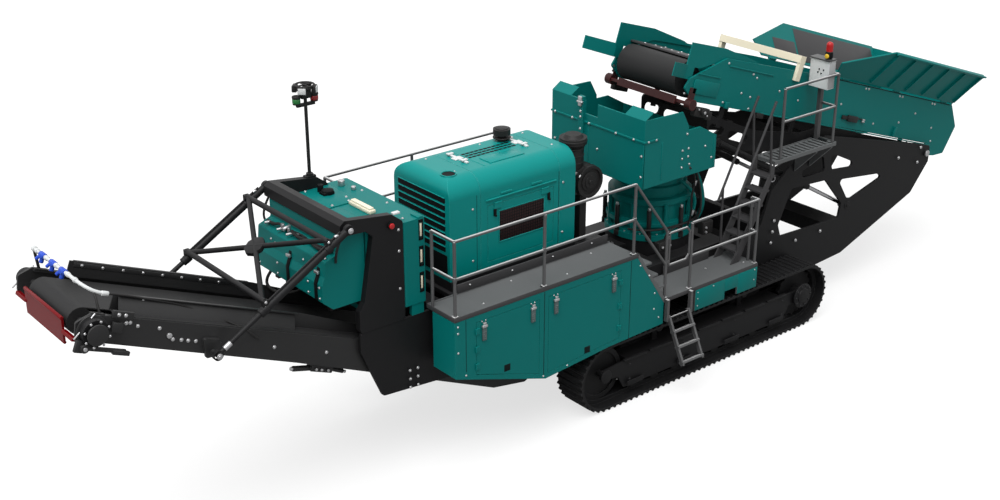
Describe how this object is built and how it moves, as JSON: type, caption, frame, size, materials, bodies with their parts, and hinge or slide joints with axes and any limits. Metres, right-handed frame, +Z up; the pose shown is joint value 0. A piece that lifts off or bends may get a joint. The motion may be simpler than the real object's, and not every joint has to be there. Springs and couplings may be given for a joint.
{
  "type": "tracked mobile crusher",
  "caption": "Tracked cone crusher with belt feeder and folding hopper wings, engine hood, walkways and a lifting product conveyor on struts.",
  "frame": {"origin": "on the ground under the centre of the crawler tracks", "axes": "+X to the feeder's tail and hopper, -X to the conveyor's discharge end, -Y to the side with the ladder, +Z up"},
  "size_m": [16.0136, 3.2784, 4.842],
  "materials": {
    "painted_green": "gloss teal green paint",
    "painted_black": "satin black paint",
    "track_steel": "dark worn track steel",
    "deck_grey": "matt grey deck plate",
    "galvanised": "dull zinc coat",
    "belt_rubber": "matt dark rubber",
    "chrome": "polished chrome",
    "red_paint": "deep red paint",
    "white_paint": "white paint",
    "cream_paint": "cream paint"
  },
  "bodies": {
    "chassis": {"hydraulic_tank": "painted_green", "cooler_cabinet": "painted_green", "engine_hood": "painted_green", "side_body_near": "painted_green", "side_body_far": "painted_green", "crusher_bowl": "painted_green", "feed_box": "painted_green", "track_frame_near": "painted_black", "track_frame_far": "painted_black", "chassis_side_near": "painted_black", "chassis_side_far": "painted_black", "chassis_cross_members": "painted_black", "engine_deck": "painted_black", "gantry": "painted_black", "light_mast": "painted_black", "exhaust": "painted_black", "air_cleaner": "painted_black", "engine_block": "painted_black", "crusher_base": "painted_black", "conveyor_tail": "painted_black", "track_belt_near": "track_steel", "track_belt_far": "track_steel", "track_wheels_near": "track_steel", "track_wheels_far": "track_steel", "walkway_near": "deck_grey", "walkway_far": "deck_grey", "lower_deck": "deck_grey", "platform": "deck_grey", "access_stair": "deck_grey", "handrail_near": "galvanised", "handrail_far": "galvanised", "ladder_fixed": "galvanised", "platform_rails": "galvanised", "tail_belt": "belt_rubber", "control_cabinet": "white_paint"},
    "conveyor": {"conveyor_frame": "painted_black", "conveyor_belt": "belt_rubber", "conveyor_skirts": "painted_black", "head_gear": "painted_black", "belt_plough": "red_paint", "spray_bar": "white_paint"},
    "feeder": {"feeder_sides": "painted_green", "feeder_belt": "belt_rubber", "feeder_girder": "painted_black", "feeder_head": "painted_green", "belt_scraper": "painted_black", "metal_detector": "cream_paint", "rear_wall": "painted_green"},
    "wing_near": {"wing_near": "painted_green"},
    "wing_far": {"wing_far": "painted_green"},
    "lift_barrels": {"lift_barrels": "painted_black"},
    "lift_rods": {"lift_rods": "chrome"},
    "strut_barrels": {"strut_barrels": "painted_black"},
    "strut_rods": {"strut_rods": "chrome"},
    "hood_door": {"hood_door": "painted_green"},
    "body_door_front": {"body_door_front": "painted_green"},
    "body_door_rear": {"body_door_rear": "painted_green"},
    "gate": {"gate": "galvanised"},
    "ladder_fold": {"ladder_fold": "galvanised"}
  },
  "joints": [
    {"name": "conveyor_lift", "type": "hinge", "parent": "chassis", "child": "conveyor", "pos_m": [-2.9, 0, 0.8], "axis": [0, 1, 0], "range_deg": [-9, 0]},
    {"name": "strut_swing", "type": "hinge", "parent": "chassis", "child": "strut_barrels", "pos_m": [-5.9, 0, 3.6], "axis": [0, 1, 0], "range_deg": [-12.5, 0.5]},
    {"name": "strut_slide", "type": "slide", "parent": "strut_barrels", "child": "strut_rods", "axis": [-0.8659, 0, -0.5003], "range_m": [-0.01, 0.66]},
    {"name": "feeder_lift", "type": "hinge", "parent": "chassis", "child": "feeder", "pos_m": [5.7, 0, 1.9], "axis": [0, 1, 0], "range_deg": [0, 8]},
    {"name": "lift_swing", "type": "hinge", "parent": "feeder", "child": "lift_barrels", "pos_m": [0.6, 0, 3.18], "axis": [0, 1, 0], "range_deg": [-0.5, 3.6]},
    {"name": "lift_slide", "type": "slide", "parent": "lift_barrels", "child": "lift_rods", "axis": [0.8731, 0, -0.4876], "range_m": [-0.01, 0.225]},
    {"name": "wing_near_fold", "type": "hinge", "parent": "feeder", "child": "wing_near", "pos_m": [5.9831, -0.735, 2.7462], "axis": [-0.9483, 0, 0.3173], "range_deg": [0, 120]},
    {"name": "wing_far_fold", "type": "hinge", "parent": "feeder", "child": "wing_far", "pos_m": [5.9831, 0.735, 2.7462], "axis": [0.9483, 0, -0.3173], "range_deg": [0, 120]},
    {"name": "hood_door_lift", "type": "hinge", "parent": "chassis", "child": "hood_door", "pos_m": [-3, -0.6113, 3.22], "axis": [-1, 0, 0], "range_deg": [0, 70]},
    {"name": "front_door_swing", "type": "hinge", "parent": "chassis", "child": "body_door_front", "pos_m": [-4.446, -1.4613, 1.735], "axis": [0, 0, -1], "range_deg": [0, 100]},
    {"name": "rear_door_swing", "type": "hinge", "parent": "chassis", "child": "body_door_rear", "pos_m": [-1.944, -1.4613, 1.61], "axis": [0, 0, 1], "range_deg": [0, 100]},
    {"name": "gate_swing", "type": "hinge", "parent": "chassis", "child": "gate", "pos_m": [-1.07, -1.416, 2.2], "axis": [0, 0, 1], "range_deg": [0, 90]},
    {"name": "ladder_fold_up", "type": "hinge", "parent": "chassis", "child": "ladder_fold", "pos_m": [-0.835, -1.49, 1.15], "axis": [-1, 0, 0], "range_deg": [0, 140]}
  ],
  "couplings": [
    {"joint": "strut_swing", "follows": "conveyor_lift", "ratio": 1.3578},
    {"joint": "strut_slide", "follows": "conveyor_lift", "m_per_rad": -3.9815},
    {"joint": "lift_swing", "follows": "feeder_lift", "ratio": 0.38765},
    {"joint": "lift_slide", "follows": "feeder_lift", "m_per_rad": 1.5118}
  ]
}
